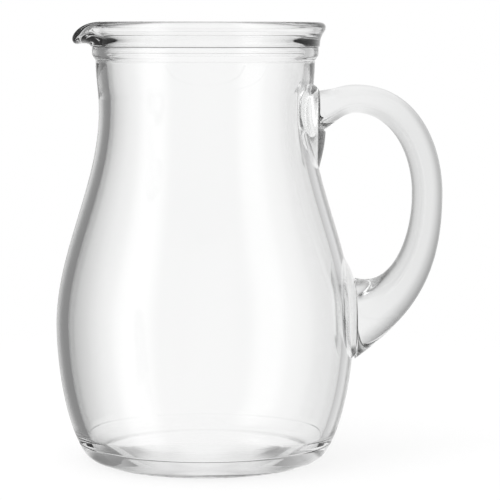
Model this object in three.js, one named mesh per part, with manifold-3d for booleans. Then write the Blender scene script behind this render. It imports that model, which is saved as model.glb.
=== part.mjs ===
import * as THREE from "three";
import { mergeVertices } from "three/addons/utils/BufferGeometryUtils.js";
import Module from "manifold-3d";

// A clear glass serving jug: a blown vessel with a spout pulled from its collar, and a solid
// handle whose ends are welded to the wall by two pads of glass. Millimetres, +Z up. The origin
// lies on the vessel's axis on the standing plane, the handle points to +X, the spout to -X.

// Vessel body
const HEIGHT = 181.5; // standing plane to the crest of the rim
const WALL = 4.8;
const STANDING_DIAMETER = 85.2;
const HEEL_RADIUS = 10.2;
const HEEL_SWEEP = THREE.MathUtils.degToRad(61);
const BELLY_DIAMETER = 123.6;
const BELLY_HEIGHT = 56.3;
const NECK_DIAMETER = 87.8;
const NECK_DROP = 36; // rim crest down to the narrowest ring

// Floor of the cavity: a low dome, with a conical bowl from its edge up to the wall
const FLOOR = 3.05; // glass under the dome's edge
const FLOOR_DIAMETER = 67.2;
const FLOOR_DOME = 1.2; // rise of the dome in the middle
const BOWL_RISE = 8.7; // dome's edge up to the foot of the wall
const BOWL_PULL_DOWN = 3.7;
const BOWL_PULL_OUT = 1.4;

// How far each curve of the body runs along its tangent before it turns
const HEEL_PULL = 16.5;
const BELLY_PULL_DOWN = 12.3;
const BELLY_PULL_UP = 31.2;
const NECK_PULL_DOWN = 31;
const NECK_PULL_UP = 8;

// Neck band and collar, measured down from the rim crest
const SHOULDER_DIAMETER = 90.2; // neck just below the band
const SHOULDER_DROP = 16.2;
const BAND_DIAMETER = 93.2;
const BAND_DROP = 14.6;
const GROOVE_DROP = 10.6; // fine groove between band and collar
const GROOVE_DEPTH = 0.5;
const GROOVE_HALF_WIDTH = 0.5;
const COLLAR_DIAMETER = 94.2;
const RIM_DIAMETER = 99;
const RIM_THICKNESS = 4; // the rim is a bead, half a circle in section
const FLARE_LEAN = THREE.MathUtils.degToRad(60); // slope at which the flare runs into the bead
const FLARE_PULL = 3.2;
const THROAT_PULL = 3; // inside, the collar's throat narrows to the neck in a soft step

// Spout: the collar is bent outwards about its foot over this part of its round
const SPOUT_BEND = THREE.MathUtils.degToRad(64);
const SPOUT_HALF_ANGLE = THREE.MathUtils.degToRad(28);
const SPOUT_BEND_LENGTH = 2;
const SPOUT_SHRINK = 0.1; // share of the collar's length that the bend draws in at the tip

// Handle, drawn in the XZ plane by an outer and an inner contour
const GRIP_WIDTH = 17;
const GRIP_THICKNESS = 12.6;
const GRIP_REACH = 36.3; // belly out to the outermost point
const GRIP_DROP = 71; // rim crest down to the outermost point
const CREST_THICKNESS = 11.7;
const CREST_REACH = 18.2; // neck out to the crest
const CREST_DROP = 25.5;
const SECTION_SQUARENESS = 2.3; // exponent of the superellipse in section
const SECTION_EGG = 0.1; // the section is wider on its outer side by this share

// Both ends of the handle are flat and upright
const UPPER_END_WIDTH = 22;
const UPPER_END_TOP_DROP = 28;
const UPPER_END_UNDER_DROP = 45.2;
const UPPER_END_TOP_SLOPE = THREE.MathUtils.degToRad(5);
const UPPER_END_UNDER_SLOPE = THREE.MathUtils.degToRad(20);
const LOWER_END_WIDTH = 27;
const LOWER_END_TOP_RISE = 19.3; // above the belly's widest ring
const LOWER_END_UNDER_FALL = 13.5; // below it
const LOWER_END_TOP_SLOPE = THREE.MathUtils.degToRad(-16);
const LOWER_END_UNDER_SLOPE = THREE.MathUtils.degToRad(36);

// How far the handle's contours run along their tangents before they turn
const OUTER_PULLS = { root: 6.9, crestIn: 6.3, crestOut: 25.1, gripUp: 21.6, gripDown: 32, foot: 30.7 };
const INNER_PULLS = { root: 5.5, crestIn: 6.8, crestOut: 13.3, gripUp: 19, gripDown: 16.7, foot: 15.4 };

// Weld pads: low bosses between the wall and the handle's ends. Each has a flat front, an outline
// of two half ellipses, and an edge that is rounded more softly at the end where the pad runs out.
const PAD_GAP = 0.3; // clearance between wall, pads and handle
const PAD_EDGE_FULLNESS = 4; // exponent of the rounding at the sides
const PAD_EDGE_LEAN = 2; // more at the blunt end, less at the end that runs out
const UPPER_PAD_STAND = 3.35; // neck out to the pad's front
const UPPER_LEDGE_DROP = 43; // rim crest down to the middle of the ledge
const LOWER_PAD_STAND = 1.5; // belly out to the pad's front
const LOWER_PAD_RISE = 2.7; // belly's widest ring up to the pad's
const LEDGE_HALF_HEIGHT = 1.5;
const UPPER_PAD = {
  level: HEIGHT - NECK_DROP, // where the pad is widest
  rise: 11.5,
  fall: 27,
  halfWidth: 15,
  front: NECK_DIAMETER / 2 + UPPER_PAD_STAND,
  lean: PAD_EDGE_LEAN,
  ledge: 3.4, // under the handle the front stands out by this much, as a fillet
  ledgeLevel: HEIGHT - UPPER_LEDGE_DROP,
};
const LOWER_PAD = {
  level: BELLY_HEIGHT + LOWER_PAD_RISE,
  rise: 25,
  fall: 16.5,
  halfWidth: 18,
  front: BELLY_DIAMETER / 2 + LOWER_PAD_STAND,
  lean: -PAD_EDGE_LEAN,
  ledge: 0,
  ledgeLevel: BELLY_HEIGHT,
};

// Facets
const AROUND = 64;
const SECTION_SIDES = 24;
const PAD_RINGS = 10;
const PAD_SIDES = 32;

const wasm = await Module();
wasm.setup();

const point = (r, z) => new THREE.Vector2(r, z);
const along = (from, angle, length) =>
  point(from.x + length * Math.cos(angle), from.y + length * Math.sin(angle));
const bezier = (a, b, c, d) => new THREE.CubicBezierCurve(a, b, c, d);

// Points of a chain of curves, each cut into its own number of steps.
function trace(pieces) {
  const points = [];
  for (const [curve, steps] of pieces) {
    points.push(...curve.getPoints(steps).slice(points.length ? 1 : 0));
  }
  return points;
}

// Outer wall from the standing ring up to the shoulder under the band.
function bodyOutline() {
  const standing = STANDING_DIAMETER / 2;
  const heel = new THREE.EllipseCurve(
    standing, HEEL_RADIUS, HEEL_RADIUS, HEEL_RADIUS, -Math.PI / 2, HEEL_SWEEP - Math.PI / 2);
  const heelEnd = heel.getPoint(1);
  const belly = point(BELLY_DIAMETER / 2, BELLY_HEIGHT);
  const neck = point(NECK_DIAMETER / 2, HEIGHT - NECK_DROP);
  const shoulder = point(SHOULDER_DIAMETER / 2, HEIGHT - SHOULDER_DROP);
  const lower = bezier(
    heelEnd, along(heelEnd, HEEL_SWEEP, HEEL_PULL),
    point(belly.x, belly.y - BELLY_PULL_DOWN), belly);
  const upper = bezier(
    belly, point(belly.x, belly.y + BELLY_PULL_UP), point(neck.x, neck.y - NECK_PULL_DOWN), neck);
  const top = bezier(
    neck, point(neck.x, neck.y + NECK_PULL_UP), point(shoulder.x, shoulder.y - NECK_PULL_UP), shoulder);
  return trace([[heel, 4], [lower, 6], [upper, 12], [top, 3]]);
}

// Band, groove, flared collar and the outer half of the rim's bead.
function collarOutline() {
  const bead = RIM_THICKNESS / 2;
  const band = BAND_DIAMETER / 2;
  const collar = COLLAR_DIAMETER / 2;
  const groove = HEIGHT - GROOVE_DROP;
  const collarFoot = point(collar, groove + GROOVE_HALF_WIDTH);
  const beadCentre = point(RIM_DIAMETER / 2 - bead, HEIGHT - bead);
  const crest = new THREE.EllipseCurve(
    beadCentre.x, beadCentre.y, bead, bead, FLARE_LEAN - Math.PI / 2, Math.PI);
  const beadStart = crest.getPoint(0);
  const flare = bezier(
    collarFoot, point(collar, collarFoot.y + FLARE_PULL),
    along(beadStart, FLARE_LEAN, -FLARE_PULL), beadStart);
  return [
    point(band, HEIGHT - BAND_DROP),
    point(band, groove - GROOVE_HALF_WIDTH),
    point(band - GROOVE_DEPTH, groove),
    ...trace([[flare, 4], [crest, 7]]),
  ];
}

// Cavity wall from the rim's bead down: a flared throat, a soft step, the body's outline moved in
// by the wall, and the bowl of the floor.
function cavityOutline(rimInside) {
  const inset = body.map((p, i) => {
    const before = body[Math.max(i - 1, 0)];
    const after = body[Math.min(i + 1, body.length - 1)];
    const tangent = after.clone().sub(before).normalize();
    return point(p.x - WALL * tangent.y, p.y + WALL * tangent.x);
  });
  const stepEnd = HEIGHT - SHOULDER_DROP - THROAT_PULL / 2;
  const wall = inset.filter((p) => p.y > FLOOR + BOWL_RISE && p.y < stepEnd).reverse();
  const throat = wall[0];
  const collar = point(COLLAR_DIAMETER / 2 - WALL, HEIGHT - GROOVE_DROP);
  const flare = bezier(
    rimInside, along(rimInside, FLARE_LEAN, -FLARE_PULL), point(collar.x, collar.y + FLARE_PULL), collar);
  const step = bezier(
    collar, point(collar.x, collar.y - THROAT_PULL), point(throat.x, throat.y + THROAT_PULL), throat);
  const foot = wall[wall.length - 1];
  const down = foot.clone().sub(wall[wall.length - 2]).setLength(BOWL_PULL_DOWN);
  const floor = FLOOR_DIAMETER / 2;
  const edge = point(floor, FLOOR);
  const edgeSlope = -Math.atan(2 * FLOOR_DOME / floor);
  const bowl = bezier(foot, foot.clone().add(down), along(edge, edgeSlope, BOWL_PULL_OUT), edge);
  const dome = new THREE.QuadraticBezierCurve(
    edge, point(floor / 2, FLOOR + FLOOR_DOME), point(0, FLOOR + FLOOR_DOME));
  return [
    ...flare.getPoints(5).slice(1), ...step.getPoints(5).slice(1, -1), ...wall,
    ...bowl.getPoints(5).slice(1), ...dome.getPoints(4).slice(1),
  ];
}

const body = bodyOutline();

// Outer radius of the body at a height.
function wallRadius(z) {
  const above = Math.max(1, body.findIndex((p) => p.y >= z));
  const [low, high] = [body[above - 1], body[above]];
  return THREE.MathUtils.mapLinear(z, low.y, high.y, low.x, high.x);
}

// Bends the collar outwards round its foot to form the spout, keeping the glass thickness.
function pullSpout(geometry) {
  const hingeRadius = BAND_DIAMETER / 2;
  const hingeLevel = HEIGHT - GROOVE_DROP - GROOVE_HALF_WIDTH;
  const position = geometry.getAttribute("position");
  for (let i = 0; i < position.count; i += 1) {
    const [x, y, z] = [position.getX(i), position.getY(i), position.getZ(i)];
    const turn = Math.atan2(y, -x);
    if (z <= hingeLevel || Math.abs(turn) >= SPOUT_HALF_ANGLE) continue;
    const share = Math.cos((turn / SPOUT_HALF_ANGLE) * (Math.PI / 2)) ** 2;
    const bend = SPOUT_BEND * share;
    const length = (z - hingeLevel) * (1 - SPOUT_SHRINK * share);
    const bendRadius = SPOUT_BEND_LENGTH / bend;
    const angle = bend * Math.min(1, length / SPOUT_BEND_LENGTH);
    const straight = Math.max(0, length - SPOUT_BEND_LENGTH);
    const offset = Math.hypot(x, y) - hingeRadius;
    const radius = hingeRadius + bendRadius * (1 - Math.cos(angle))
      + straight * Math.sin(angle) + offset * Math.cos(angle);
    const level = hingeLevel + bendRadius * Math.sin(angle)
      + straight * Math.cos(angle) - offset * Math.sin(angle);
    position.setXYZ(i, -radius * Math.cos(turn), radius * Math.sin(turn), level);
  }
}

// Turns a profile about the Z axis.
function revolve(profile) {
  return new THREE.LatheGeometry(profile, AROUND).rotateX(Math.PI / 2);
}

function vesselGeometry() {
  const collar = collarOutline();
  const cavity = cavityOutline(collar[collar.length - 1]);
  const geometry = revolve([point(0, 0), ...body, ...collar, ...cavity]);
  pullSpout(geometry);
  return geometry;
}

// Closed skin over rings of points, with a fan on each end ring.
function skin(rings) {
  const sides = rings[0].length;
  const middle = (ring) => ring.reduce((sum, p) => sum.add(p), new THREE.Vector3()).divideScalar(sides);
  const points = [...rings.flat(), middle(rings[0]), middle(rings[rings.length - 1])];
  const index = [];
  for (let ring = 0; ring < rings.length - 1; ring += 1) {
    for (let side = 0; side < sides; side += 1) {
      const a = ring * sides + side;
      const b = ring * sides + ((side + 1) % sides);
      index.push(a, b, a + sides, b, b + sides, a + sides);
    }
  }
  const first = rings.length * sides;
  const lastRing = first - sides;
  for (let side = 0; side < sides; side += 1) {
    const next = (side + 1) % sides;
    index.push(first, next, side);
    index.push(first + 1, lastRing + side, lastRing + next);
  }
  return new THREE.BufferGeometry().setFromPoints(points).setIndex(index);
}

// A boss of glass on the wall, before the handle is cut out of its ledge.
function padGeometry(pad) {
  const ring = (spread, height) => Array.from({ length: PAD_SIDES }, (_, side) => {
    const angle = (side / PAD_SIDES) * 2 * Math.PI;
    const across = spread * pad.halfWidth * Math.cos(angle);
    const level = pad.level + spread * (Math.sin(angle) > 0 ? pad.rise : pad.fall) * Math.sin(angle);
    const back = Math.sqrt((wallRadius(level) + PAD_GAP) ** 2 - across ** 2);
    const underLedge = THREE.MathUtils.smoothstep(
      pad.ledgeLevel - level, -LEDGE_HALF_HEIGHT, LEDGE_HALF_HEIGHT);
    const front = pad.front + pad.ledge * underLedge;
    const rounding = 1 - spread ** (PAD_EDGE_FULLNESS + pad.lean * Math.sin(angle));
    return new THREE.Vector3(back + height * rounding * (front - back), across, level);
  });
  const spreads = Array.from({ length: PAD_RINGS }, (_, i) => (i + 1) / PAD_RINGS);
  const front = spreads.map((spread) => ring(spread, 1));
  const back = spreads.slice(0, -1).map((spread) => ring(spread, 0));
  return skin([...back, ...front.reverse()]);
}

// One contour of the handle from the upper root over crest and grip to the lower root.
function handleContour(root, rootSlope, crest, grip, foot, footSlope, pulls) {
  return [
    bezier(root, along(root, rootSlope, pulls.root), point(crest.x - pulls.crestIn, crest.y), crest),
    bezier(crest, point(crest.x + pulls.crestOut, crest.y), point(grip.x, grip.y + pulls.gripUp), grip),
    bezier(grip, point(grip.x, grip.y - pulls.gripDown), along(foot, footSlope, pulls.foot), foot),
  ];
}

// The handle, larger all round by grow.
function handleGeometry(grow) {
  const upperEnd = UPPER_PAD.front + PAD_GAP - grow;
  const lowerEnd = LOWER_PAD.front + PAD_GAP - grow;
  const crest = point(NECK_DIAMETER / 2 + CREST_REACH, HEIGHT - CREST_DROP);
  const grip = point(BELLY_DIAMETER / 2 + GRIP_REACH, HEIGHT - GRIP_DROP);
  const outer = handleContour(
    point(upperEnd, HEIGHT - UPPER_END_TOP_DROP), UPPER_END_TOP_SLOPE,
    crest, grip,
    point(lowerEnd, BELLY_HEIGHT - LOWER_END_UNDER_FALL), LOWER_END_UNDER_SLOPE,
    OUTER_PULLS);
  const inner = handleContour(
    point(upperEnd, HEIGHT - UPPER_END_UNDER_DROP), UPPER_END_UNDER_SLOPE,
    point(crest.x, crest.y - CREST_THICKNESS), point(grip.x - GRIP_THICKNESS, grip.y),
    point(lowerEnd, BELLY_HEIGHT + LOWER_END_TOP_RISE), LOWER_END_TOP_SLOPE,
    INNER_PULLS);
  const widths = [
    (t) => THREE.MathUtils.lerp(UPPER_END_WIDTH, GRIP_WIDTH, Math.sin((t * Math.PI) / 2)),
    () => GRIP_WIDTH,
    (t) => THREE.MathUtils.lerp(GRIP_WIDTH, LOWER_END_WIDTH, t ** 3),
  ];
  const steps = [8, 10, 14];
  const rings = steps.flatMap((count, piece) =>
    Array.from({ length: count + (piece === steps.length - 1 ? 1 : 0) }, (_, i) => {
      const t = i / count;
      return handleSection(outer[piece].getPoint(t), inner[piece].getPoint(t), widths[piece](t), grow);
    }));
  return skin(rings);
}

// A rounded section between a point of the outer contour and one of the inner contour.
function handleSection(outer, inner, width, grow) {
  const centre = outer.clone().add(inner).multiplyScalar(0.5);
  const across = outer.clone().sub(inner);
  const half = across.setLength(across.length() / 2 + grow);
  const round = (value) => Math.sign(value) * Math.abs(value) ** (2 / SECTION_SQUARENESS);
  return Array.from({ length: SECTION_SIDES }, (_, corner) => {
    const angle = -(corner / SECTION_SIDES) * 2 * Math.PI;
    const out = round(Math.cos(angle));
    const side = round(Math.sin(angle)) * (1 + SECTION_EGG * Math.cos(angle)) * (width / 2 + grow);
    return new THREE.Vector3(centre.x + half.x * out, side, centre.y + half.y * out);
  });
}

// A closed geometry as a solid for cutting.
function solid(geometry) {
  const bare = geometry.clone();
  bare.deleteAttribute("normal");
  bare.deleteAttribute("uv");
  const merged = mergeVertices(bare, 1e-4);
  return new wasm.Manifold(new wasm.Mesh({
    numProp: 3,
    vertProperties: new Float32Array(merged.getAttribute("position").array),
    triVerts: new Uint32Array(merged.index.array),
  }));
}

function geometryOf(cut) {
  const { vertProperties, triVerts } = cut.getMesh();
  return new THREE.BufferGeometry()
    .setAttribute("position", new THREE.BufferAttribute(vertProperties, 3))
    .setIndex(new THREE.BufferAttribute(triVerts, 1));
}

// A pad is cut back to the handle, which rests on its ledge.
function seatedPad(pad) {
  return geometryOf(solid(padGeometry(pad)).subtract(solid(handleGeometry(PAD_GAP))));
}

function glass(name, geometry) {
  const material = new THREE.MeshStandardMaterial({
    color: 0xeef3f2, roughness: 0.04, metalness: 0, transparent: true, opacity: 0.35,
  });
  const mesh = new THREE.Mesh(geometry, material);
  mesh.name = name;
  return mesh;
}

const jug = new THREE.Group();
jug.name = "jug";
jug.add(glass("vessel", vesselGeometry()));
jug.add(glass("upper_handle_pad", seatedPad(UPPER_PAD)));
jug.add(glass("lower_handle_pad", seatedPad(LOWER_PAD)));
jug.add(glass("handle", handleGeometry(0)));

export default jug;
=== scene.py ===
"""Clear glass serving jug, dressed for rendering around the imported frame.

Lengths are in metres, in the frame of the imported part: the origin lies on the vessel's axis on the
standing plane, +Z is up, the handle points to +X and the spout to -X. Angles are in radians.
"""

from __future__ import annotations

import logging
import math
from collections.abc import Callable, Mapping, Sequence
from dataclasses import dataclass
from enum import Enum
from typing import Any

import bmesh
import bpy
import numpy as np
from bpy.types import Material, Mesh, MeshPolygon, NodeSocket, NodeTree, Object
from mathutils import Matrix, Vector

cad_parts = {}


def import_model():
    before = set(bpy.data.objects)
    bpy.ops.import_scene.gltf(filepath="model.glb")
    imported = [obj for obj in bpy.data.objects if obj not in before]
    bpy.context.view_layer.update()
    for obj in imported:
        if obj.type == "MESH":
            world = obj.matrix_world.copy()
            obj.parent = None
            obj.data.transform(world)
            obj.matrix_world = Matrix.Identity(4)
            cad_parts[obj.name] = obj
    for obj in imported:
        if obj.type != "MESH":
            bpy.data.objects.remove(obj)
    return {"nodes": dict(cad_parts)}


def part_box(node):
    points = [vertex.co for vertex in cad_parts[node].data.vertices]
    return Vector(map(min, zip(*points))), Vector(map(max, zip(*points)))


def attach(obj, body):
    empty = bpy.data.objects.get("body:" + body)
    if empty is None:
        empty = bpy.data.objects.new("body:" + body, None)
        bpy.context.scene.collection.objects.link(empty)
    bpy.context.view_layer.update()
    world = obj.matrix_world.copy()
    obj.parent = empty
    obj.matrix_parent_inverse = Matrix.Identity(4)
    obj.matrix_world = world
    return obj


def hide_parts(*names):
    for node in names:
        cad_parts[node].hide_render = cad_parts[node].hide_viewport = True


LOG = logging.getLogger("jug")
MM = 0.001
WELD_GAP = 0.05 * MM
MERGE_DISTANCE = 2e-4 * MM
SAME_POINT = 1e-4 * MM
ROOT_BODY = "root"
WHITE = (1.0, 1.0, 1.0, 1.0)
Triple = tuple[float, float, float]
Points = np.ndarray


class Node(Enum):
    """The CAD nodes, each of which one piece of glass here stands for."""

    VESSEL = "vessel"
    UPPER_PAD = "upper_handle_pad"
    LOWER_PAD = "lower_handle_pad"
    HANDLE = "handle"


# Node trees


def _operator(operation: str, reflected: bool = False) -> Callable[[Signal, Any], Signal]:
    """Makes an operator of a signal, which stands on its right if reflected, from a Math node."""

    def method(signal: Signal, other: Any) -> Signal:
        """Applies the operation to the signal and the other value."""
        values = (other, signal) if reflected else (signal, other)
        return signal.graph.math(operation, *values)

    return method


class Signal:
    """A socket of a node tree with operators, so that maths reads as an expression."""

    __add__ = _operator("ADD")
    __radd__ = _operator("ADD", reflected=True)
    __sub__ = _operator("SUBTRACT")
    __rsub__ = _operator("SUBTRACT", reflected=True)
    __mul__ = _operator("MULTIPLY")
    __rmul__ = _operator("MULTIPLY", reflected=True)
    __truediv__ = _operator("DIVIDE")
    __pow__ = _operator("POWER")

    def __init__(self, graph: Graph, socket: NodeSocket) -> None:
        """Wraps a socket of the graph's tree."""
        self.graph = graph
        self.socket = socket

    def apply(self, operation: str, *others: Any) -> Signal:
        """Applies any other operation of the Math node, such as COSINE or MINIMUM."""
        return self.graph.math(operation, self, *others)

    def ramp(self, start: float, end: float) -> Signal:
        """Rises smoothly from 0 at start to 1 at end.

        Args:
            start: Value at which the result is 0.
            end: Value at which the result is 1. It may be the smaller one.

        Returns:
            The smooth step.
        """
        values = {"Value": self, "From Min": start, "From Max": end}
        node = self.graph.node("ShaderNodeMapRange", values, interpolation_type="SMOOTHSTEP")
        return self.graph.out(node, "Result")


class Graph:
    """A shader, world or geometry node tree that is filled from Python."""

    def __init__(self, tree: NodeTree) -> None:
        """Empties the tree and keeps it."""
        tree.nodes.clear()
        self.tree = tree

    def node(
        self, kind: str, sockets: Mapping[Any, Any] | None = None, **settings: str
    ) -> bpy.types.Node:
        """Makes a node.

        Args:
            kind: The node's type name.
            sockets: Value of each input, or the signal or node that it takes, by name or index.
            settings: Properties that are set before the sockets.

        Returns:
            The new node.
        """
        made = self.tree.nodes.new(kind)
        for name, value in settings.items():
            setattr(made, name, value)
        for name, value in (sockets or {}).items():
            target = made.inputs[name]
            if isinstance(value, Signal):
                self.tree.links.new(value.socket, target)
            elif isinstance(value, bpy.types.Node):
                self.tree.links.new(value.outputs[0], target)
            else:
                target.default_value = value
        return made

    def out(self, node: bpy.types.Node, name: str | int = 0) -> Signal:
        """Wraps an output of a node."""
        return Signal(self, node.outputs[name])

    def math(self, operation: str, *values: Any) -> Signal:
        """Gives the result of a Math node on the values."""
        return self.out(self.node("ShaderNodeMath", dict(enumerate(values)), operation=operation))

    def parts(self, vector: Any) -> tuple[Signal, Signal, Signal]:
        """Splits a vector into its three components."""
        split = self.node("ShaderNodeSeparateXYZ", {0: vector})
        return self.out(split, 0), self.out(split, 1), self.out(split, 2)

    def vector(self, x: Any, y: Any, z: Any) -> Signal:
        """Joins three components into a vector."""
        return self.out(self.node("ShaderNodeCombineXYZ", {0: x, 1: y, 2: z}))

    def noise(self, place: Any, scale: float, detail: float, roughness: float) -> Signal:
        """Gives noise of a scale at a place."""
        values = {"Vector": place, "Scale": scale, "Detail": detail, "Roughness": roughness}
        return self.out(self.node("ShaderNodeTexNoise", values))

    def mix(self, factor: Signal, first: Any, second: Triple) -> Signal:
        """Mixes two colours."""
        values = {"Factor": factor, "A": first, "B": (*second, 1.0)}
        return self.out(self.node("ShaderNodeMix", values, data_type="RGBA"), "Result")

    def surface(self, shader: bpy.types.Node, share: Signal | None = None) -> None:
        """Ends a material with a shader, which is clear where its share is 0."""
        if share is not None:
            clear = self.node("ShaderNodeBsdfTransparent")
            shader = self.node("ShaderNodeMixShader", {0: share, 1: clear, 2: shader})
        self.node("ShaderNodeOutputMaterial", {"Surface": shader})


def new_material(name: str) -> tuple[Material, Graph]:
    """Makes a material without nodes and gives it with its graph."""
    material = bpy.data.materials.new(name)
    material.use_nodes = True
    return material, Graph(material.node_tree)


def add_object(name: str, data: bpy.types.ID) -> Object:
    """Makes an object of its data and links it to the scene."""
    made = bpy.data.objects.new(name, data)
    bpy.context.scene.collection.objects.link(made)
    return made


class SkinTree:
    """A Geometry Nodes tree that rolls a grid into a closed skin, row by row along a guide.

    The object that carries the tree is a chain of guide vertices. A grid has one row for each of
    them and closes round on itself, and its rows are then placed by a rule of the subclass.
    """

    name = "skin"
    extra_inputs: Sequence[str] = ()

    def __init__(self) -> None:
        """Builds the tree."""
        self.tree = bpy.data.node_groups.new(self.name, "GeometryNodeTree")
        self.graph = Graph(self.tree)
        face = self.tree.interface
        sockets = [("Guide", "Geometry"), ("Rows", "Int"), ("Sides", "Int"), ("Material", "Material")]
        sockets += [(name, "Float") for name in self.extra_inputs]
        for name, kind in sockets:
            face.new_socket(name, in_out="INPUT", socket_type=f"NodeSocket{kind}")
        face.new_socket("Skin", in_out="OUTPUT", socket_type="NodeSocketGeometry")
        self._build()

    def get(self, name: str) -> Signal:
        """Gives a named input of the tree."""
        return self.graph.out(self.inputs, name)

    def guide(self, row: Signal, attribute: str = "position") -> tuple[Signal, Signal, Signal]:
        """Reads a vector of the guide at a row.

        Args:
            row: Index of the guide vertex.
            attribute: Name of the vector.

        Returns:
            The vector's components.
        """
        source = self.graph.node(
            "GeometryNodeInputNamedAttribute", {"Name": attribute}, data_type="FLOAT_VECTOR"
        )
        sample = self.graph.node(
            "GeometryNodeSampleIndex",
            {"Geometry": self.get("Guide"), "Value": source, "Index": row},
            data_type="FLOAT_VECTOR", domain="POINT",
        )
        return self.graph.parts(sample)

    def place(self, row: Signal, turn: Signal) -> Signal:
        """Gives the position of a grid vertex.

        Args:
            row: Index of the guide vertex that the row follows.
            turn: Angle round the row, from 0 to a full turn.

        Returns:
            The position as a vector.
        """
        raise NotImplementedError

    def _build(self) -> None:
        """Adds the nodes that every skin has, around the subclass's rule."""
        graph = self.graph
        self.inputs = graph.node("NodeGroupInput")
        columns = self.get("Sides") + 1
        grid = graph.node(
            "GeometryNodeMeshGrid",
            {"Size X": 1.0, "Size Y": 1.0, "Vertices X": columns, "Vertices Y": self.get("Rows")},
        )
        x, y, _ = graph.parts(graph.node("GeometryNodeInputPosition"))
        row = ((y + 0.5) * (self.get("Rows") - 1)).apply("ROUND")
        turn = (x + 0.5) * math.tau
        placed = {"Geometry": grid, "Position": self.place(row, turn)}
        moved = graph.node("GeometryNodeSetPosition", placed)
        merged = {"Geometry": moved, "Distance": MERGE_DISTANCE}
        closed = graph.node("GeometryNodeMergeByDistance", merged)
        real = graph.node("GeometryNodeRealizeInstances", {"Geometry": closed})
        finish = {"Geometry": real, "Material": self.get("Material")}
        dressed = graph.node("GeometryNodeSetMaterial", finish)
        graph.node("NodeGroupOutput", {"Skin": dressed})

    def run(
        self, name: str, guide: Points, sides: int, material: Material,
        sizes: Mapping[str, float] | None = None, attributes: Mapping[str, Points] | None = None,
    ) -> Object:
        """Makes a piece with this tree and turns it into a plain mesh.

        Args:
            name: Name of the piece.
            guide: Guide vertices, one for each row.
            sides: Number of sides round each row.
            material: Finish of the piece.
            sizes: Values of the tree's extra inputs.
            attributes: Vectors stored on the guide vertices, by name.

        Returns:
            The finished object, at the origin.
        """
        mesh = bpy.data.meshes.new(name)
        mesh.from_pydata(guide.tolist(), [], [])
        for key, vectors in (attributes or {}).items():
            layer = mesh.attributes.new(key, "FLOAT_VECTOR", "POINT")
            layer.data.foreach_set("vector", np.asarray(vectors, np.float32).ravel())
        piece = add_object(name, mesh)
        modifier = piece.modifiers.new(self.name, "NODES")
        modifier.node_group = self.tree
        values = {"Rows": len(guide), "Sides": sides, "Material": material, **(sizes or {})}
        for item in self.tree.interface.items_tree:
            if item.in_out == "INPUT" and item.name in values:
                modifier[item.identifier] = values[item.name]
        return settle(piece)


class RevolveTree(SkinTree):
    """Turns a profile about the Z axis and bends its collar outwards into a spout."""

    name = "revolve_with_spout"
    extra_inputs = (
        "Hinge Radius", "Hinge Level", "Spout Bend", "Spout Half Angle", "Bend Length", "Shrink",
    )
    least_bend = 1e-4

    def place(self, row: Signal, turn: Signal) -> Signal:
        """Revolves the profile point of a row. The turn starts at the spout, on -X."""
        radius, _, level = self.guide(row)
        angle = turn - math.pi
        reach = (angle.apply("ABSOLUTE") / self.get("Spout Half Angle")).apply("MINIMUM", 1.0)
        share = (reach * (math.pi / 2)).apply("COSINE") ** 2.0
        bend = (self.get("Spout Bend") * share).apply("MAXIMUM", self.least_bend)
        rise = (level - self.get("Hinge Level")).apply("MAXIMUM", 0.0)
        length = rise * (1 - self.get("Shrink") * share)
        bend_radius = self.get("Bend Length") / bend
        tilt = bend * (length / self.get("Bend Length")).apply("MINIMUM", 1.0)
        straight = (length - self.get("Bend Length")).apply("MAXIMUM", 0.0)
        offset = radius - self.get("Hinge Radius")
        cosine = tilt.apply("COSINE")
        sine = tilt.apply("SINE")
        out = self.get("Hinge Radius") + bend_radius * (1 - cosine) + straight * sine + offset * cosine
        up = bend_radius * sine + straight * cosine - offset * sine
        height = (level - rise) + up
        inwards = -1 * out
        return self.graph.vector(inwards * angle.apply("COSINE"), inwards * angle.apply("SINE"), height)


class LoftTree(SkinTree):
    """Lofts egg-shaped sections between an outer and an inner contour in the XZ plane."""

    name = "handle_loft"
    extra_inputs = ("Egg", "Crease Depth", "Crease Place", "Crease Width")

    def place(self, row: Signal, turn: Signal) -> Signal:
        """Places a point of the egg-shaped section that lies between the two contours."""
        outer_x, _, outer_z = self.guide(row)
        inner_x, width, inner_z = self.guide(row, "inner_and_width")
        out = turn.apply("COSINE")
        swell = 1 + self.get("Egg") * out
        beside = (out - self.get("Crease Place")) / self.get("Crease Width")
        crease = (beside * beside * -1).apply("EXPONENT") * self.get("Crease Depth")
        x = (outer_x + inner_x) * 0.5 + (outer_x - inner_x) * 0.5 * out
        z = (outer_z + inner_z) * 0.5 + (outer_z - inner_z) * 0.5 * out
        across = turn.apply("SINE") * (1 - crease) * swell * width * -0.5
        return self.graph.vector(x, across, z)


def settle(piece: Object) -> Object:
    """Turns what an object's modifiers give into its own plain, smooth mesh.

    Args:
        piece: Object whose modifiers are complete.

    Returns:
        The same object, without modifiers.
    """
    graph = bpy.context.evaluated_depsgraph_get()
    mesh = bpy.data.meshes.new_from_object(piece.evaluated_get(graph))
    mesh.name = piece.name
    piece.modifiers.clear()
    piece.data = mesh
    face_outwards(mesh)
    mesh.shade_smooth()
    return piece


def face_outwards(mesh: Mesh) -> None:
    """Turns the faces of a closed mesh outwards as a whole, going by its signed volume."""
    work = bmesh.new()
    work.from_mesh(mesh)
    if work.calc_volume(signed=True) < 0:
        bmesh.ops.reverse_faces(work, faces=work.faces)
    work.to_mesh(mesh)
    work.free()


# Outlines


def along(start: Sequence[float], angle: float, length: float) -> Points:
    """Gives the point at a distance from start in a direction."""
    return np.array([start[0] + length * math.cos(angle), start[1] + length * math.sin(angle)])


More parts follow.
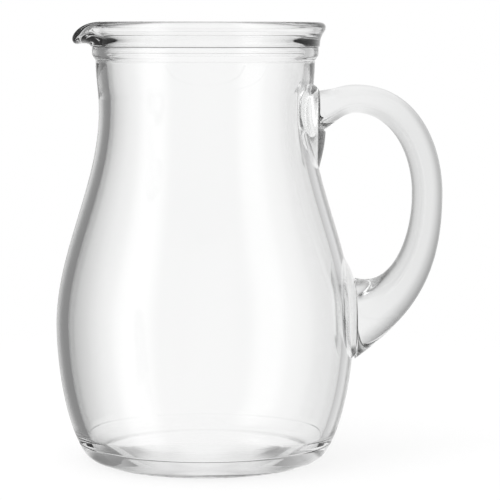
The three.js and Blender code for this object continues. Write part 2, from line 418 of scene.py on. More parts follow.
def bezier(a: Points, b: Points, c: Points, d: Points, steps: int) -> Points:
    """Gives steps + 1 points of a cubic curve."""
    t = np.linspace(0, 1, steps + 1)[:, None]
    corner = [np.asarray(p, float) for p in (a, b, c, d)]
    return (
        (1 - t) ** 3 * corner[0]
        + 3 * (1 - t) ** 2 * t * corner[1]
        + 3 * (1 - t) * t**2 * corner[2]
        + t**3 * corner[3]
    )


def arc(centre: Sequence[float], radius: float, start: float, end: float, steps: int) -> Points:
    """Gives steps + 1 points of a circular arc."""
    angle = np.linspace(start, end, steps + 1)
    return np.stack([centre[0] + radius * np.cos(angle), centre[1] + radius * np.sin(angle)], -1)


def chain(*pieces: Points) -> Points:
    """Joins outlines end to end and drops the points that repeat."""
    points = np.concatenate(pieces)
    keep = np.ones(len(points), bool)
    keep[1:] = np.linalg.norm(np.diff(points, axis=0), axis=1) > SAME_POINT
    return points[keep]


def rounded(corners: Sequence[Sequence[float]], radius: float, steps: int) -> Points:
    """Gives a line through corners, each rounded over a length on both sides.

    Args:
        corners: The line's corners. The first and last stay sharp.
        radius: Length on each side of a corner over which it is rounded.
        steps: Steps of each rounding.

    Returns:
        The points.
    """
    line = np.asarray(corners, float)
    t = np.linspace(0, 1, steps + 1)[:, None]
    points = [line[:1]]
    for before, at, after in zip(line, line[1:], line[2:]):
        back = before - at
        on = after - at
        start = at + back * min(radius / np.linalg.norm(back), 0.5)
        end = at + on * min(radius / np.linalg.norm(on), 0.5)
        points.append((1 - t) ** 2 * start + 2 * (1 - t) * t * at + t**2 * end)
    points.append(line[-1:])
    return np.concatenate(points)


# Finish


@dataclass(frozen=True)
class ClearGlass:
    """Fire-polished colourless glass: gently rippled, with a trace of haze and of tint.

    Its tint may be darkened between two places along X as painted shade, or painted dark beyond a place
    along X and below a height as painted shade at a weld.
    """

    name: str
    tint: Triple = (0.992, 0.993, 0.992)
    deep_tint: Triple = (0.986, 0.988, 0.987)
    tint_ramp: tuple[float, float] = (0.35, 0.65)
    index: float = 1.52
    haze: float = 0.012
    haze_ramp: tuple[float, float] = (0.55, 0.8)
    haze_fineness: float = 3.0
    haze_detail: float = 4.0
    haze_roughness: float = 0.6
    ripple_size: float = 28 * MM
    ripple_depth: float = 0.02 * MM
    ripple_detail: float = 1.0
    ripple_roughness: float = 0.35
    streak_stretch: float = 0.35
    # Painted shade: the tint may darken between two places along X.
    painted_shade_along_x: tuple[float, float] | None = None
    painted_shade_along_x_tint: Triple = (0.81, 0.813, 0.812)
    # Painted shade at a weld: a dark tint beyond a place along X and below a height, with soft edges.
    painted_shade_tint: Triple = (0.025, 0.025, 0.025)
    painted_shade_beyond: float | None = None
    painted_shade_below: float = -1.0
    painted_shade_edge: float = 0.3 * MM
    painted_shade_foot_edge: float = 1.5 * MM

    def build(self) -> Material:
        """Makes the material, on Object coordinates."""
        material, graph = new_material(self.name)
        place = graph.out(graph.node("ShaderNodeTexCoord"), "Object")
        stretch = {"Vector": place, "Scale": (1.0, 1.0, self.streak_stretch)}
        stretched = graph.node("ShaderNodeMapping", stretch)
        ripple = graph.noise(stretched, 1 / self.ripple_size, self.ripple_detail, self.ripple_roughness)
        haze = graph.noise(
            place, self.haze_fineness / self.ripple_size, self.haze_detail, self.haze_roughness
        )
        tint = graph.mix(ripple.ramp(*self.tint_ramp), (*self.tint, 1.0), self.deep_tint)
        relief = {"Height": ripple, "Distance": self.ripple_depth, "Strength": 1.0}
        shader = graph.node(
            "ShaderNodeBsdfPrincipled",
            {
                "Base Color": self._shaded(graph, place, tint),
                "Roughness": haze.ramp(*self.haze_ramp) * self.haze,
                "IOR": self.index,
                "Transmission Weight": 1.0,
                "Normal": graph.node("ShaderNodeBump", relief),
            },
        )
        graph.surface(shader)
        return material

    def _shaded(self, graph: Graph, place: Signal, tint: Signal) -> Signal:
        """Gives the tint at a place, with painted shade along X, or with painted shade at the front and
        foot of a weld.
        """
        x, _, z = graph.parts(place)
        # Painted shade: the tint darkens between two places along X.
        if self.painted_shade_along_x is not None:
            return graph.mix(x.ramp(*self.painted_shade_along_x), tint, self.painted_shade_along_x_tint)
        if self.painted_shade_beyond is None:
            return tint
        # Painted shade: a dark tint at the weld's front and foot.
        front = x.ramp(self.painted_shade_beyond - self.painted_shade_edge, self.painted_shade_beyond + self.painted_shade_edge)
        foot = z.ramp(self.painted_shade_below + self.painted_shade_foot_edge, self.painted_shade_below - self.painted_shade_foot_edge)
        return graph.mix(front.apply("MAXIMUM", foot), tint, self.painted_shade_tint)


def weld_face() -> Material:
    """Makes the finish of faces that are fused to their neighbour: no surface shows there."""
    material, graph = new_material("weld_face")
    graph.surface(graph.node("ShaderNodeBsdfPrincipled", {"Alpha": 0.0}))
    return material


def refinish(mesh: Mesh, finish: Material, chosen: Callable[[MeshPolygon], bool]) -> None:
    """Gives some faces of a mesh another finish.

    Args:
        mesh: The mesh.
        finish: The finish, which is added to the mesh.
        chosen: Tells whether a face gets it.
    """
    mesh.materials.append(finish)
    slot = mesh.materials.find(finish.name)
    for face in mesh.polygons:
        if chosen(face):
            face.material_index = slot


# Pieces


@dataclass
class Vessel:
    """The blown vessel: heel, belly, neck, band, collar with rim bead and pulled spout, cavity."""

    height: float
    belly_radius: float
    wall: float = 4.8 * MM
    floor: float = 3.75 * MM
    floor_radius: float = 42.5 * MM
    floor_dome: float = 4.1 * MM
    floor_fullness: float = 2.3
    bowl_rise: float = 9.5 * MM
    bowl_drop: float = 2.7 * MM
    bowl_flat: float = 1.06 * MM
    bowl_lift: float = math.radians(18)
    seam_height: float = 8.5 * MM
    seam_depth: float = 0.14 * MM
    seam_half_width: float = 0.35 * MM
    standing_radius: float = 42.6 * MM
    heel_radius: float = 10.2 * MM
    heel_sweep: float = math.radians(61)
    belly_height: float = 56.3 * MM
    neck_radius: float = 43.9 * MM
    neck_drop: float = 36 * MM
    heel_pull: float = 16.5 * MM
    belly_pull_down: float = 12.3 * MM
    belly_pull_up: float = 31.2 * MM
    neck_pull_down: float = 31 * MM
    neck_pull_up: float = 8 * MM
    shoulder_radius: float = 45.1 * MM
    shoulder_drop: float = 15.6 * MM
    band_radius: float = 46.6 * MM
    band_drop: float = 13.7 * MM
    band_rounding: float = 1.6 * MM
    groove_drop: float = 10.1 * MM
    groove_depth: float = 0.33 * MM
    groove_half_width: float = 0.17 * MM
    groove_rounding: float = 0.05 * MM
    collar_radius: float = 47.1 * MM
    rim_radius: float = 49.5 * MM
    rim_thickness: float = 4.4 * MM
    flare_lean: float = math.radians(60)
    flare_pull: float = 3.2 * MM
    throat_lean: float = math.radians(59)
    throat_rim_pull: float = 9 * MM
    throat_pull: float = 7.9 * MM
    throat_inset: float = 5.8 * MM
    throat_drop: float = 15 * MM
    step_pull: float = 0.5 * MM
    step_drop: float = 15.4 * MM
    spout_bend: float = math.radians(64)
    spout_half_angle: float = math.radians(28)
    spout_bend_length: float = 2 * MM
    spout_shrink: float = 0.1
    sides: int = 236
    base_steps: int = 12
    heel_steps: int = 16
    seam_steps: int = 13
    lower_steps: int = 36
    upper_steps: int = 60
    neck_steps: int = 16
    band_steps: int = 8
    groove_steps: int = 3
    flare_steps: int = 16
    crest_steps: int = 20
    throat_steps: int = 20
    step_steps: int = 24
    bowl_steps: int = 40
    dome_steps: int = 30

    def body(self) -> Points:
        """Gives the outer wall from the standing ring up to the shoulder under the band."""
        heel = arc(
            (self.standing_radius, self.heel_radius), self.heel_radius,
            -math.pi / 2, self.heel_sweep - math.pi / 2, self.heel_steps,
        )
        belly = np.array([self.belly_radius, self.belly_height])
        neck = np.array([self.neck_radius, self.height - self.neck_drop])
        shoulder = np.array([self.shoulder_radius, self.height - self.shoulder_drop])
        lower = bezier(
            heel[-1], along(heel[-1], self.heel_sweep, self.heel_pull),
            belly - (0, self.belly_pull_down), belly, self.lower_steps,
        )
        upper = bezier(
            belly, belly + (0, self.belly_pull_up),
            neck - (0, self.neck_pull_down), neck, self.upper_steps,
        )
        pull = np.array([0, self.neck_pull_up])
        top = bezier(neck, neck + pull, shoulder - pull, shoulder, self.neck_steps)
        return chain(heel, lower, upper, top)

    def _seamed(self, body: Points) -> Points:
        """Draws the seam of the base mould round the outer wall, as a shallow line over the heel."""
        line = self.seam_height + self.seam_half_width * np.linspace(-1, 1, self.seam_steps)
        level = np.union1d(body[body[:, 1] > SAME_POINT, 1], line)
        radius = np.interp(level, body[:, 1], body[:, 0])
        dip = np.clip(1 - np.abs(level - self.seam_height) / self.seam_half_width, 0, None)
        return np.stack([radius - self.seam_depth * dip, level], -1)

    def collar(self) -> Points:
        """Gives band, groove, flare and rim bead, from the shoulder round to the inside."""
        bead = self.rim_thickness / 2
        groove = self.height - self.groove_drop
        foot = np.array([self.collar_radius, groove + self.groove_half_width])
        centre = (self.rim_radius - bead, self.height - bead)
        crest = arc(centre, bead, self.flare_lean - math.pi / 2, math.pi, self.crest_steps)
        flare = bezier(
            foot, foot + (0, self.flare_pull), along(crest[0], self.flare_lean, -self.flare_pull),
            crest[0], self.flare_steps,
        )
        shoulder = (self.shoulder_radius, self.height - self.shoulder_drop)
        edge = (self.band_radius, self.height - self.band_drop)
        lip = (self.band_radius, groove - self.groove_half_width)
        deepest = (self.band_radius - self.groove_depth, groove)
        band = rounded((shoulder, edge, lip), self.band_rounding, self.band_steps)
        ring = rounded((lip, deepest, foot), self.groove_rounding, self.groove_steps)
        return chain(band, ring, flare, crest)

    def cavity(self, rim_inside: Points) -> Points:
        """Gives the cavity wall from the rim's bead down to the middle of the floor.

        Args:
            rim_inside: Last point of the rim's bead.

        Returns:
            The flared throat, the wall and the bowl of the floor.
        """
        outer = self.body()
        tangent = np.gradient(outer, axis=0)
        tangent /= np.linalg.norm(tangent, axis=1)[:, None]
        inset = outer + self.wall * np.stack([-tangent[:, 1], tangent[:, 0]], -1)
        top = self.height - self.shoulder_drop - self.step_drop
        keep = (inset[:, 1] > self.floor + self.bowl_rise) & (inset[:, 1] < top)
        wall = inset[keep][::-1]
        collar = np.array([self.collar_radius - self.throat_inset, self.height - self.throat_drop])
        flare = bezier(
            rim_inside, along(rim_inside, self.throat_lean, -self.throat_rim_pull),
            collar + (0, self.throat_pull), collar, self.throat_steps,
        )
        pull = np.array([0, self.step_pull])
        step = bezier(collar, collar - pull, wall[0] + pull, wall[0], self.step_steps)
        down = wall[-1] - wall[-2]
        edge = np.array([self.floor_radius, self.floor])
        bowl = bezier(
            wall[-1], wall[-1] + down / np.linalg.norm(down) * self.bowl_drop,
            along(edge, -self.bowl_lift, self.bowl_flat), edge, self.bowl_steps,
        )
        radius = np.linspace(self.floor_radius, 0, self.dome_steps)
        dome = self.floor + self.floor_dome * (1 - (radius / self.floor_radius) ** self.floor_fullness)
        return chain(flare, step, wall, bowl, np.stack([radius, dome], -1))

    def outline(self) -> Points:
        """Gives the whole profile, from the axis under the base round to the axis on the floor."""
        collar = self.collar()
        under = np.linspace((0, 0), (self.standing_radius, 0), self.base_steps)
        return chain(under, self._seamed(self.body()), collar, self.cavity(collar[-1]))

    def wall_radius(self, level: Points) -> Points:
        """Gives the outer radius of the body at a height."""
        body = self.body()
        return np.interp(level, body[:, 1], body[:, 0])

    def _in_groove(self, face: MeshPolygon) -> bool:
        """Tells whether a face lies in the groove over the band."""
        shallow = math.hypot(face.center.x, face.center.y) > self.band_radius - self.groove_depth
        beside = abs(face.center.z - (self.height - self.groove_drop))
        return shallow and beside < self.groove_half_width

    def build(self, finish: Material, groove_painted_shade: Material) -> None:
        """Makes the piece that stands for the vessel.

        Args:
            finish: The glass.
            groove_painted_shade: Finish of the groove over the band, painted dark as shade.
        """
        outline = self.outline()
        guide = np.stack([outline[:, 0], np.zeros(len(outline)), outline[:, 1]], -1)
        sizes = {
            "Hinge Radius": self.band_radius,
            "Hinge Level": self.height - self.groove_drop - self.groove_half_width,
            "Spout Bend": self.spout_bend,
            "Spout Half Angle": self.spout_half_angle,
            "Bend Length": self.spout_bend_length,
            "Shrink": self.spout_shrink,
        }
        piece = RevolveTree().run("vessel_glass", guide, self.sides, finish, sizes)
        # The groove's faces get a dark tint as painted shade.
        refinish(piece.data, groove_painted_shade, self._in_groove)
        carry(piece, Node.VESSEL)


@dataclass(frozen=True)
class Contour:
    """One side of the handle in the XZ plane: how far its curves run along their tangents."""

    root: float
    crest_in: float
    crest_out: float
    grip_up: float
    grip_down: float
    foot: float

    def trace(
        self, root: Points, root_slope: float, crest: Points, grip: Points,
        foot: Points, foot_slope: float, steps: Sequence[int],
    ) -> Points:
        """Gives the points of the contour.

        Args:
            root: Start at the upper end.
            root_slope: Direction in which the contour leaves the root.
            crest: Highest point.
            grip: Outermost point.
            foot: End at the lower end.
            foot_slope: Direction from the foot back along the contour.
            steps: Steps from root to crest, to grip and to foot.

        Returns:
            The points.
        """
        leaving = along(root, root_slope, self.root)
        arriving = along(foot, foot_slope, self.foot)
        return chain(
            bezier(root, leaving, crest - (self.crest_in, 0), crest, steps[0]),
            bezier(crest, crest + (self.crest_out, 0), grip + (0, self.grip_up), grip, steps[1]),
            bezier(grip, grip - (0, self.grip_down), arriving, foot, steps[2]),
        )


@dataclass
class Handle:
    """The solid looped handle, whose flat upright ends are sunk into the weld pads."""

    vessel: Vessel
    grip_width: float = 17 * MM
    grip_thickness: float = 12.6 * MM
    grip_reach: float = 36.3 * MM
    grip_drop: float = 71 * MM
    crest_thickness: float = 11.7 * MM
    crest_reach: float = 18.2 * MM
    crest_drop: float = 25.5 * MM
    egg: float = 0.1
    crease_depth: float = 0.05
    crease_place: float = -0.4
    crease_width: float = 0.11
    upper_stand: float = 2.15 * MM
    upper_width: float = 17.5 * MM
    upper_top_drop: float = 28.1 * MM
    upper_under_drop: float = 45.6 * MM
    upper_top_slope: float = math.radians(5)
    upper_under_slope: float = math.radians(20)
    lower_stand: float = 0.5 * MM
    lower_width: float = 22 * MM
    lower_top_rise: float = 19.6 * MM
    lower_under_fall: float = 14.2 * MM
    lower_top_slope: float = math.radians(-16)
    lower_under_slope: float = math.radians(36)
    outer_pulls: Contour = Contour(
        root=8.1 * MM, crest_in=6.3 * MM, crest_out=25.1 * MM,
        grip_up=21.6 * MM, grip_down=32 * MM, foot=31.9 * MM,
    )
    inner_pulls: Contour = Contour(
        root=6.8 * MM, crest_in=6.8 * MM, crest_out=13.3 * MM,
        grip_up=19 * MM, grip_down=16.7 * MM, foot=16.4 * MM,
    )
    end_flatness: float = 0.999
    steps: tuple[int, int, int] = (40, 60, 80)
    sides: int = 200

    def contours(self, grow: float = 0.0) -> tuple[Points, Points, Points]:
        """Gives the handle's lines.

        Args:
            grow: Length added all round.

        Returns:
            The outer contour, the inner contour and the width at each of their points.
        """
        vessel = self.vessel
        upper_end = vessel.neck_radius + self.upper_stand - grow
        lower_end = vessel.belly_radius + self.lower_stand - grow
        crest = np.array([vessel.neck_radius + self.crest_reach, vessel.height - self.crest_drop])
        grip = np.array([vessel.belly_radius + self.grip_reach, vessel.height - self.grip_drop])
        outer = self.outer_pulls.trace(
            np.array([upper_end, vessel.height - self.upper_top_drop]), self.upper_top_slope,
            crest, grip,
            np.array([lower_end, vessel.belly_height - self.lower_under_fall]), self.lower_under_slope,
            self.steps,
        )
        inner = self.inner_pulls.trace(
            np.array([upper_end, vessel.height - self.upper_under_drop]), self.upper_under_slope,
            crest - (0, self.crest_thickness), grip - (self.grip_thickness, 0),
            np.array([lower_end, vessel.belly_height + self.lower_top_rise]), self.lower_top_slope,
            self.steps,
        )
        first, middle, last = self.steps
        rise = np.sin(np.linspace(0, math.pi / 2, first + 1))
        fall = np.linspace(0, 1, last + 1)[1:] ** 2
        width = np.concatenate([
            self.upper_width + (self.grip_width - self.upper_width) * rise,
            np.full(middle, self.grip_width),
            self.grip_width + (self.lower_width - self.grip_width) * fall,
        ])
        across = (outer - inner) / np.linalg.norm(outer - inner, axis=1)[:, None]
        return outer + across * grow, inner - across * grow, width + 2 * grow

    def solid(self, name: str, finish: Material, grow: float = 0.0) -> Object:
        """Makes the handle's form.

        Args:
            name: Name of the object.
            finish: The glass.
            grow: Length added all round.

        Returns:
            The object.
        """
        outer, inner, width = self.contours(grow)
        start = (outer[:1] + inner[:1]) / 2
        end = (outer[-1:] + inner[-1:]) / 2
        outer = np.concatenate([start, outer, end])
        inner = np.concatenate([start, inner, end])
        width = np.concatenate([[0.0], width, [0.0]])
        guide = np.stack([outer[:, 0], np.zeros(len(outer)), outer[:, 1]], -1)
        other = np.stack([inner[:, 0], width, inner[:, 1]], -1)
        sizes = {
            "Egg": self.egg,
            "Crease Depth": self.crease_depth,
            "Crease Place": self.crease_place,
            "Crease Width": self.crease_width,
        }
        return LoftTree().run(name, guide, self.sides, finish, sizes, {"inner_and_width": other})

    def build(self, finish: Material, welded: Material) -> None:
        """Makes the piece that stands for the handle.

        Args:
            finish: The glass, greyer as partly its own tint and partly painted shade, and darker
                outwards as painted shade.
            welded: Finish of the flat ends, which are fused to the pads.
        """
        piece = self.solid("handle_glass", finish)
        refinish(piece.data, welded, lambda face: face.normal.x < -self.end_flatness)
        carry(piece, Node.HANDLE)


@dataclass
class WeldPad:
    """A low boss of glass between the vessel's wall and one end of the handle.

    Its outline is two half ellipses and its front is flat. The edge is rounded more softly at the
    end where the pad runs out. Under the handle the front may stand out further, as a fillet.
    """

    vessel: Vessel
    handle: Handle
    node: Node
    level: float
    rise: float
    fall: float
    half_width: float
    front: float
    lean: float
    ledge: float = 0.0
    ledge_level: float = 0.0
    ledge_half_height: float = 1.2 * MM
    ledge_half_width: float = 7 * MM
    fullness: float = 4.0
    # Depth behind the front at which the weld's painted shade begins.
    painted_shade_depth: float = 1 * MM
    seat_angle: float = math.radians(35)
    rings: int = 40
    sides: int = 128

    def _ring(self, spread: float, height: float) -> Points:
        """Gives one ring of points round the pad.

        Args:
            spread: Share of the pad's half sizes at which the ring lies.
            height: Share of the pad's thickness, 0 on its back and 1 on its front.

        Returns:
            The points in space.
        """
        angle = np.linspace(0, math.tau, self.sides, endpoint=False)
        across = spread * self.half_width * np.cos(angle)
        reach = np.where(np.sin(angle) > 0, self.rise, self.fall)
        level = self.level + spread * reach * np.sin(angle)
        back = np.sqrt((self.vessel.wall_radius(level) + WELD_GAP) ** 2 - across**2)
        under = np.clip((self.ledge_level - level) / self.ledge_half_height / 2 + 0.5, 0, 1)
        narrow = np.exp(-((across / self.ledge_half_width) ** 2))
        front = self.front + self.ledge * narrow * under * under * (3 - 2 * under)
        rounding = 1 - spread ** (self.fullness + self.lean * np.sin(angle))
        return np.stack([back + height * rounding * (front - back), across, level], -1)

    def solid(self, name: str, finish: Material, welded: Material) -> Object:
        """Makes the whole boss as a closed mesh.

        Args:
            name: Name of the object.
            finish: The glass.
            welded: Finish of the back, which is fused to the wall.

        Returns:
            The object.
        """
        spreads = np.linspace(0, 1, self.rings + 1)[1:]
        back = [self._ring(spread, 0.0) for spread in spreads[:-1]]
        front = [self._ring(spread, 1.0) for spread in spreads[::-1]]
        middles = np.array([self._ring(0.0, 0.0)[0], self._ring(0.0, 1.0)[0]])
        points = np.concatenate([*back, *front, middles])
        corner = np.arange(len(points) - len(middles)).reshape(-1, self.sides)
        beside = np.roll(corner, -1, axis=1)
        middle = np.full(self.sides, corner.size)
        sheet = np.stack([corner[:-1], beside[:-1], beside[1:], corner[1:]], -1)
        faces = sheet.reshape(-1, 4).tolist()
        faces += np.stack([middle, beside[0], corner[0]], -1).tolist()
        faces += np.stack([middle + 1, corner[-1], beside[-1]], -1).tolist()
        mesh = bpy.data.meshes.new(name)
        mesh.from_pydata(points.tolist(), [], faces)
        mesh.materials.append(finish)
        behind = {*range((len(back) + 1) * self.sides), corner.size}
        refinish(mesh, welded, lambda face: behind.issuperset(face.vertices))
        face_outwards(mesh)
        mesh.shade_smooth()
        return add_object(name, mesh)

    def build(self, finish: Material, welded: Material) -> None:
        """Makes the piece that stands for the pad.

        Args:
            finish: The glass, with painted shade at the weld.
            welded: Finish of the back, which is fused to the wall.
        """
        piece = self.solid(self.node.value + "_glass", finish, welded)
        cut(piece, self.handle.solid("handle_cutter", finish, WELD_GAP))
        piece.data.set_sharp_from_angle(angle=self.seat_angle)
        carry(piece, self.node)


def cut(piece: Object, cutter: Object) -> None:
    """Cuts a piece with a cutter, whose finish the new faces get, and deletes the cutter."""
    modifier = piece.modifiers.new("seat", "BOOLEAN")
    modifier.operation = "DIFFERENCE"
    modifier.solver = "EXACT"
    modifier.material_mode = "TRANSFER"
    modifier.object = cutter
    settle(piece)
    bpy.data.objects.remove(cutter)


def carry(piece: Object, node: Node) -> None:
    """Puts a finished piece in its node's place in the frame.

    Args:
        piece: The finished object.
        node: The CAD node that it stands for.
    """
    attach(piece, ROOT_BODY)
    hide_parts(node.value)
    LOG.info("%s stands for %s with %d faces", piece.name, node.value, len(piece.data.polygons))


# Studio


@dataclass(frozen=True)
class Panel:
    """A soft-edged panel of the studio, seen by light that the glass bends or mirrors.

    Azimuths are turned from +Y, behind the jug, towards +X. All angles are in degrees.
    """

    azimuth: float
    half_width: float
    level: float
    low: float | None = None
    high: float | None = None
    edge: float = 5.0

    def mask(self, direction: tuple[Signal, Signal, Signal], elevation: Signal) -> Signal:
        """Gives 1 inside the panel and 0 outside it.

        Args:
            direction: Unit vector of the ray.
            elevation: The ray's angle above the horizon.

        Returns:
            The mask.
        """
        x, y, _ = direction
        turn = math.radians(self.azimuth)
        flat = (x * x + y * y) ** 0.5
        cosine = ((x * math.sin(turn) + y * math.cos(turn)) / flat).apply("MINIMUM", 1.0)
        away = cosine.apply("ARCCOSINE")
        edge = math.radians(self.edge)
        wide = math.radians(self.half_width)
        mask = away.ramp(wide + edge, wide - edge)
        if self.low is not None:
            low = math.radians(self.low)
            mask = mask * elevation.ramp(low - edge, low + edge)
        if self.high is not None:
            high = math.radians(self.high)
            mask = mask * elevation.ramp(high + edge, high - edge)
        return mask


@dataclass(frozen=True)
class Edge:
    """A panel that only light of one path sees, which draws an edge of the glass.

    The path is told by its ray depth: 3 through the handle alone, 4 along the inside of the wall.
    """

    path: int
    panel: Panel


@dataclass(frozen=True)
class Card:
    """A dark card behind the jug, beside the white ground, which draws the left edge of the glass.

    It starts clear at its inner edge and darkens outwards. Only bent and mirrored light sees it.
    """

    name: str
    inner: float
    soft: float
    outer: float
    level: float
    back: float = 150 * MM
    top: float = 400 * MM
    bottom: float = -400 * MM

    def build(self) -> None:
        """Makes the card, as part of the stage."""
        mesh = bpy.data.meshes.new(self.name)
        corners = [(x, self.back, z) for z in (self.bottom, self.top) for x in (self.inner, self.outer)]
        mesh.from_pydata(corners, [], [(0, 1, 3, 2)])
        material, graph = new_material(self.name)
        x, _, _ = graph.parts(graph.out(graph.node("ShaderNodeTexCoord"), "Object"))
        paint = graph.node("ShaderNodeEmission", {"Color": WHITE, "Strength": self.level})
        graph.surface(paint, x.ramp(self.inner, self.soft))
        mesh.materials.append(material)
        card = add_object(self.name, mesh)
        card.visible_camera = False
        card.visible_diffuse = False
        card.visible_shadow = False


@dataclass
class Studio:
    """White surroundings, soft panels, a pale floor with a soft shadow, and the camera."""

    room_level: float = 0.8
    panels: tuple[Panel, ...] = (
        Panel(azimuth=-64, half_width=26, level=0.5, edge=12),
        Panel(azimuth=64, half_width=26, level=0.5, edge=12),
        Panel(azimuth=0, half_width=34, level=0.87, edge=14),
        Panel(azimuth=0, half_width=11, level=0.98, edge=7),
        Panel(azimuth=-122, half_width=16, level=1.7, low=-60, high=60, edge=9),
    )
    card: Card = Card("left_card", inner=-58 * MM, soft=-140 * MM, outer=-300 * MM, level=0.25)
    edges: tuple[Edge, ...] = (
        Edge(4, Panel(azimuth=8, half_width=14, level=0.0, edge=5)),
        Edge(4, Panel(azimuth=33, half_width=9, level=0.75, edge=4)),
        Edge(3, Panel(azimuth=66, half_width=22, level=0.75, edge=10)),
        Edge(3, Panel(azimuth=-90, half_width=70, level=0.5, edge=16)),
    )
    path_tolerance: float = 0.5
    ground_start: float = -0.45
    ground_end: float = -1.1
    ground_shade: float = 0.45
    floor_radius: float = 0.42
    floor_sides: int = 128
    floor_gap: float = 0.05 * MM
    floor_glow: float = 0.86
    floor_colour: Triple = (0.14, 0.14, 0.14)
    fade_inner: float = 0.45
    fade_outer: float = 0.98
    lamp_size: float = 1.4
    lamp_power: float = 14.0
    lamp_place: Triple = (-0.3, -0.3, 1.6)
    eye: Triple = (18.5 * MM, -908.5 * MM, 178.1 * MM)
    aim: Triple = (18.5 * MM, 0.0, 87.4 * MM)
    roll: float = math.radians(0.1)
    lens: float = 158.4
    sensor: float = 36.0
    near: float = 0.01
    far: float = 100.0
    bounces: int = 24
    mirror_bounces: int = 12

    def build(self) -> None:
        """Makes world, floor, card, lamp and camera, and sets the view."""
        scene = bpy.context.scene
        scene.view_settings.view_transform = "Standard"
        scene.cycles.max_bounces = self.bounces
        scene.cycles.transmission_bounces = self.bounces
        scene.cycles.glossy_bounces = self.mirror_bounces
        scene.cycles.transparent_max_bounces = self.bounces
        self._world()
        self._floor()
        self.card.build()
        self._lamp()
        self._camera()

    def _world(self) -> None:
        """Makes a world that the camera sees as white and the glass sees as soft panels."""
        world = bpy.data.worlds.new("studio")
        bpy.context.scene.world = world
        world.use_nodes = True
        graph = Graph(world.node_tree)
        direction = graph.parts(graph.out(graph.node("ShaderNodeTexCoord"), "Generated"))
        elevation = direction[2].apply("ARCSINE")
        level: Any = self.room_level
        for panel in self.panels:
            mask = panel.mask(direction, elevation)
            level = mask * panel.level + (1 - mask) * level
        ground = elevation.ramp(self.ground_start, self.ground_end)
        level = level * (1 - self.ground_shade * ground)
        path = graph.node("ShaderNodeLightPath")
        depth = graph.out(path, "Ray Depth")
        for edge in self.edges:
            on_path = depth.apply("COMPARE", edge.path, self.path_tolerance)
            shade = on_path * edge.panel.mask(direction, elevation)
            level = level * (1 - shade * (1 - edge.panel.level))
        seen = graph.out(path, "Is Camera Ray")
        strength = seen + (1 - seen) * level
        background = graph.node("ShaderNodeBackground", {"Color": WHITE, "Strength": strength})
        graph.node("ShaderNodeOutputWorld", {"Surface": background})

    def _floor(self) -> None:
        """Makes a pale disc under the jug that keeps its soft shadow and fades out to white."""
        mesh = bpy.data.meshes.new("floor")
        work = bmesh.new()
        bmesh.ops.create_circle(
            work, cap_ends=True, segments=self.floor_sides, radius=self.floor_radius
        )
        bmesh.ops.translate(work, verts=work.verts, vec=(0, 0, -self.floor_gap))
        work.to_mesh(mesh)
        work.free()
        floor = add_object("floor", mesh)
        material, graph = new_material("pale_floor")
        x, y, _ = graph.parts(graph.out(graph.node("ShaderNodeTexCoord"), "Object"))
        distance = (x * x + y * y) ** 0.5
        fade = distance.ramp(self.floor_radius * self.fade_outer, self.floor_radius * self.fade_inner)
        glow = graph.node("ShaderNodeEmission", {"Color": WHITE, "Strength": self.floor_glow})
        matt = graph.node("ShaderNodeBsdfDiffuse", {"Color": (*self.floor_colour, 1.0)})
        lit = graph.node("ShaderNodeAddShader", {0: glow, 1: matt})
        graph.surface(lit, fade)
        mesh.materials.append(material)
        floor.visible_transmission = False
        floor.visible_glossy = False

    def _lamp(self) -> None:
        """Hangs a large soft lamp overhead for the shadow. The glass doesn't mirror it."""
        light = bpy.data.lights.new("overhead", "AREA")
        light.shape = "DISK"
        light.size = self.lamp_size
        light.energy = self.lamp_power
        lamp = add_object("overhead", light)
        lamp.location = self.lamp_place
        lamp.rotation_euler = (-lamp.location).to_track_quat("-Z", "Y").to_euler()
        lamp.visible_glossy = False
        lamp.visible_transmission = False

    def _camera(self) -> None:
        """Puts the camera where the photograph was taken from."""
        data = bpy.data.cameras.new("camera")
        data.lens = self.lens
        data.sensor_width = self.sensor
        data.clip_start = self.near
        data.clip_end = self.far
        camera = add_object("camera", data)
        eye = Vector(self.eye)
        facing = (Vector(self.aim) - eye).to_track_quat("-Z", "Y").to_matrix()
        turned = facing @ Matrix.Rotation(self.roll, 3, "Z")
        camera.matrix_world = Matrix.Translation(eye) @ turned.to_4x4()
        bpy.context.scene.camera = camera


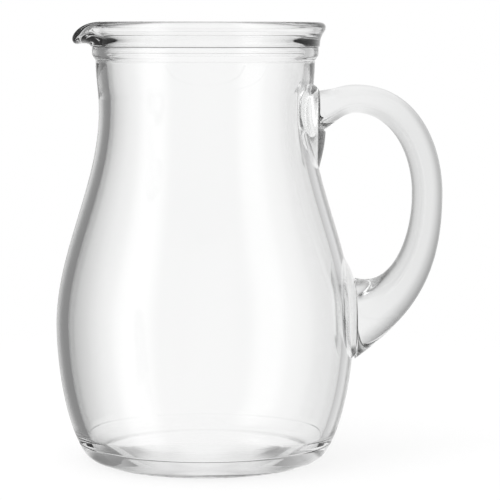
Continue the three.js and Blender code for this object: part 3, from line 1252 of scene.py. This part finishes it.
def main() -> None:
    """Builds the jug and its studio around the frame."""
    logging.basicConfig(level=logging.INFO, format="%(name)s: %(message)s")
    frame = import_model()
    LOG.info("frame with nodes %s", ", ".join(frame["nodes"]))
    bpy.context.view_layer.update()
    _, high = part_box(Node.VESSEL.value)
    glass = ClearGlass("clear_glass").build()
    # The handle's glass is greyer all over, partly its own tint as thicker glass and partly painted
    # shade; towards its outer side along X it darkens further as painted shade.
    thick = ClearGlass(
        "thick_glass_and_painted_shade", tint=(0.9, 0.903, 0.902), deep_tint=(0.89, 0.893, 0.892),
        painted_shade_along_x=(60 * MM, 92 * MM),
    ).build()
    welded = weld_face()
    vessel = Vessel(height=high.z, belly_radius=high.x)
    handle = Handle(vessel)
    upper = WeldPad(
        vessel, handle, Node.UPPER_PAD, level=vessel.height - vessel.neck_drop,
        rise=10.5 * MM, fall=24 * MM, half_width=15 * MM, front=vessel.neck_radius + 3.35 * MM,
        lean=2.0, ledge=2.5 * MM, ledge_level=vessel.height - 43.9 * MM, fullness=6.0,
        painted_shade_depth=1.1 * MM,
    )
    lower = WeldPad(
        vessel, handle, Node.LOWER_PAD, level=vessel.belly_height + 2.7 * MM,
        rise=25 * MM, fall=16.5 * MM, half_width=18 * MM, front=vessel.belly_radius + 1.5 * MM,
        lean=-2.0,
    )
    # Painted shade: the groove over the band is painted dark.
    groove = ClearGlass("groove_painted_shade_glass", tint=(0.12, 0.12, 0.12), deep_tint=(0.1, 0.1, 0.1)).build()
    vessel.build(glass, groove)
    # The pads' glass is painted dark as shade at the weld: beyond a depth behind the front, and on the
    # lower pad also below a height.
    upper_weld_painted_shade = ClearGlass("upper_weld_painted_shade", painted_shade_beyond=upper.front - upper.painted_shade_depth)
    lower_weld_painted_shade = ClearGlass(
        "lower_weld_painted_shade", painted_shade_beyond=lower.front - lower.painted_shade_depth, painted_shade_below=49 * MM
    )
    upper.build(upper_weld_painted_shade.build(), welded)
    lower.build(lower_weld_painted_shade.build(), welded)
    handle.build(thick, welded)
    Studio().build()


if __name__ == "__main__":
    main()
